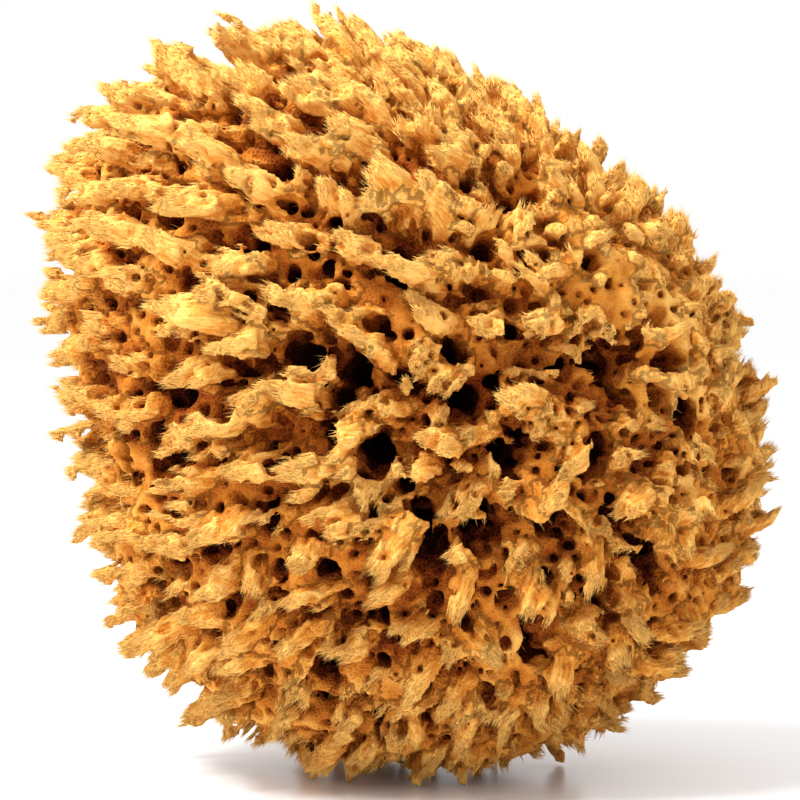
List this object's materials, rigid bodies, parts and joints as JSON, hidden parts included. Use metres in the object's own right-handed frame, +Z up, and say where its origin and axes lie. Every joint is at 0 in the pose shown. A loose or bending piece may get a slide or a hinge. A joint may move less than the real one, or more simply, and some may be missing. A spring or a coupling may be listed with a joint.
{
  "type": "sea sponge",
  "caption": "Natural bath sponge: a springy honey-brown dome of frayed fronds and open canals that stands on its pressed-flat rim.",
  "frame": {"origin": "middle of the bounding box's footprint, on the surface that the sponge stands on", "axes": "+Z up; the domed growth face looks along -Y; +X to the right of someone facing that face"},
  "size_m": [0.1602, 0.1084, 0.1585],
  "materials": {
    "spongin": "dry felted natural fibre, matt, honey brown with pale frayed tips and dark canals"
  },
  "bodies": {
    "root": {"sponge": "spongin"}
  },
  "joints": []
}
